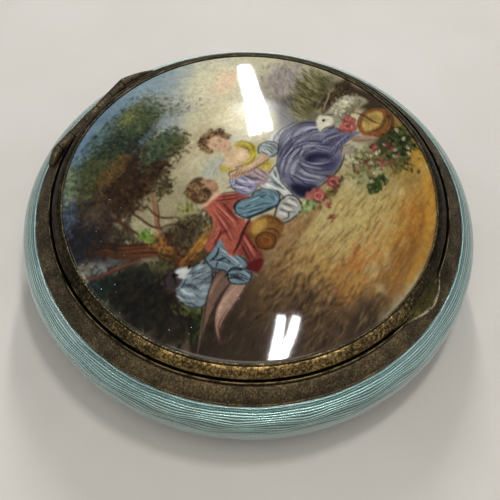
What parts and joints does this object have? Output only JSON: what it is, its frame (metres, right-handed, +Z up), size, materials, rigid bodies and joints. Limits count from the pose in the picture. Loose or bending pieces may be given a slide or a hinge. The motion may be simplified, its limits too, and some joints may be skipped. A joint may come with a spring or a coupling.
{
  "type": "pill box",
  "caption": "Round enamelled pill box with a bellied metal body, a hinged lid with a thumb lip, and a domed painted-enamel plaque.",
  "frame": {"origin": "centre of the circle that the foot ring stands on, on the underside of the box", "axes": "+Z up through the lid; the hinge is on the +Y side and the thumb lip on the -Y side; +X to the right seen from the thumb lip"},
  "size_m": [0.0482, 0.0482, 0.0142],
  "materials": {
    "tarnished_gilt": "tarnished silver gilt, dark brown with worn gold patches",
    "old_gilt": "mottled old silver gilt",
    "gilt": "worn satin gilding",
    "pin_metal": "drawn wire",
    "copper": "hammered copper",
    "turquoise_enamel": "glossy translucent enamel over engine turning",
    "painted_enamel": "glossy hand-painted enamel",
    "counter_enamel": "glossy"
  },
  "bodies": {
    "box": {"foot_ring": "old_gilt", "base_enamel": "turquoise_enamel", "body_pan": "gilt", "side_enamel": "turquoise_enamel", "rim_plate": "tarnished_gilt", "collar": "gilt", "catch_bead": "gilt", "knuckle_left": "tarnished_gilt", "knuckle_middle": "tarnished_gilt", "knuckle_right": "tarnished_gilt", "hinge_end_left": "tarnished_gilt", "hinge_end_right": "tarnished_gilt", "hinge_pin": "pin_metal"},
    "lid": {"lid_frame": "old_gilt", "thumbpiece": "tarnished_gilt", "setting_ring": "gilt", "painted_enamel": "painted_enamel", "plaque_copper": "copper", "counter_enamel": "counter_enamel", "lid_lining": "gilt", "lid_knuckle_left": "tarnished_gilt", "lid_knuckle_right": "tarnished_gilt"}
  },
  "joints": [
    {"name": "lid_hinge", "type": "hinge", "parent": "box", "child": "lid", "pos_m": [0, 0.02105, 0.01005], "axis": [-1, 0, 0], "range_deg": [0, 105]}
  ]
}
